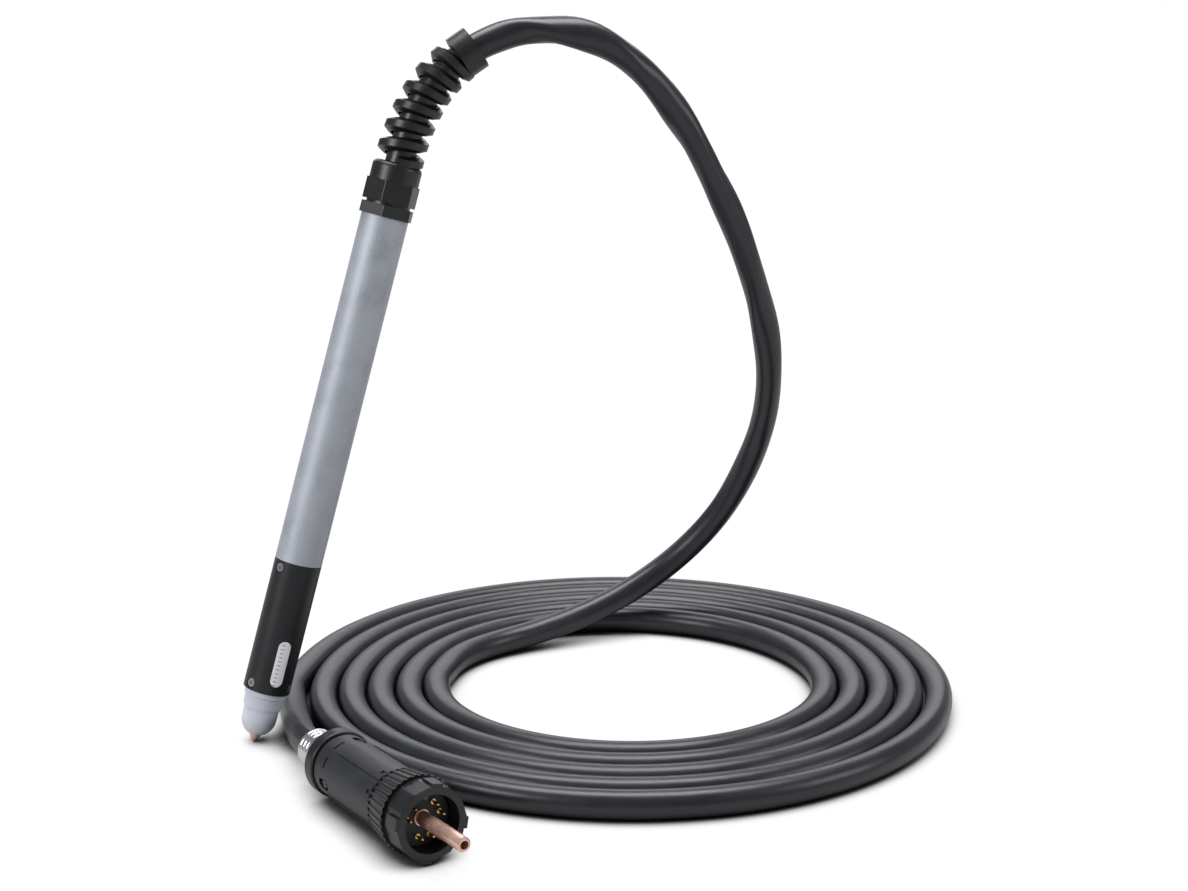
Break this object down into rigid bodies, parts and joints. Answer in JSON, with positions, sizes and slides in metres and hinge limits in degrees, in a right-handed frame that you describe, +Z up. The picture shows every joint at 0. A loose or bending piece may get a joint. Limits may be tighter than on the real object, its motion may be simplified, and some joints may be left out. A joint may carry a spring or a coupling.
{
  "type": "machine plasma torch",
  "caption": "Straight machine plasma torch standing on its nozzle, with spiral bend guard, black hose laid in a flat spiral, and a multi-pin plug with coupling nut.",
  "frame": {"origin": "on the floor that the nozzle stands on, under the middle of the torch's own bounding box (without the hose and plug)", "axes": "+Z up; the torch leans towards +X and a little +Y; the plug lies on the -Y side, in front"},
  "size_m": [0.5442, 0.6149, 0.5302],
  "materials": {
    "copper": "turned copper",
    "insulating_resin": "moulded high-temperature resin",
    "emitter_metal": "hafnium slug",
    "cup_resin": "pale grey moulded resin",
    "seal_rubber": "soft black rubber",
    "brass": "turned brass",
    "lead_rubber": "inner lead",
    "wire_sheath": "wire insulation",
    "black_sleeve": "satin black moulded housing",
    "screw_steel": "button head screws",
    "label_film": "white film",
    "joiner_resin": "moulded joiner",
    "satin_tube": "satin grey tube",
    "black_nylon": "moulded black nylon",
    "hose_rubber": "smooth black sheath",
    "bright_steel": "bright steel",
    "plug_resin": "moulded black resin",
    "clamp_steel": "spring steel",
    "insulator_resin": "black insulator",
    "gold_plate": "gold plated",
    "post_resin": "grey moulded posts"
  },
  "bodies": {
    "torch": {"nozzle_tip": "copper", "swirl_ring": "insulating_resin", "electrode": "copper", "emitter": "emitter_metal", "head_body": "cup_resin", "head_o_ring": "seal_rubber", "head_insert": "brass", "power_lead": "lead_rubber", "lead_crimp": "brass", "pilot_wires": "wire_sheath", "head_sleeve": "black_sleeve", "sleeve_screws": "screw_steel", "label_plate": "label_film", "tube_joiner": "joiner_resin", "torch_tube": "satin_tube", "gland_body": "black_nylon", "gland_seal": "seal_rubber", "gland_nut": "black_nylon", "hose_arc": "hose_rubber", "hose_coil": "hose_rubber", "hose_tail": "hose_rubber", "strain_ferrule": "bright_steel", "plug_cap": "black_nylon", "plug_shell": "plug_resin", "shell_screws": "screw_steel", "hose_clamp": "clamp_steel", "nut_clip": "clamp_steel", "insulator": "insulator_resin", "contact_pins": "gold_plate", "pin_sleeves": "gold_plate", "key_posts": "post_resin", "current_pin": "copper", "plug_lead": "lead_rubber"},
    "nut": {"coupling_nut": "black_nylon"},
    "cup": {"outside_nozzle": "cup_resin"}
  },
  "joints": [
    {"name": "coupling_nut_turn", "type": "hinge", "parent": "torch", "child": "nut", "pos_m": [0.04938, -0.23186, 0.02782], "axis": [0.5499, -0.8349, 0.022], "continuous": true},
    {"name": "outside_nozzle_turn", "type": "hinge", "parent": "torch", "child": "cup", "pos_m": [-0.07949, -0.03546, 0.02119], "axis": [-0.254, -0.1294, -0.9585], "range_deg": [0, 900]}
  ]
}
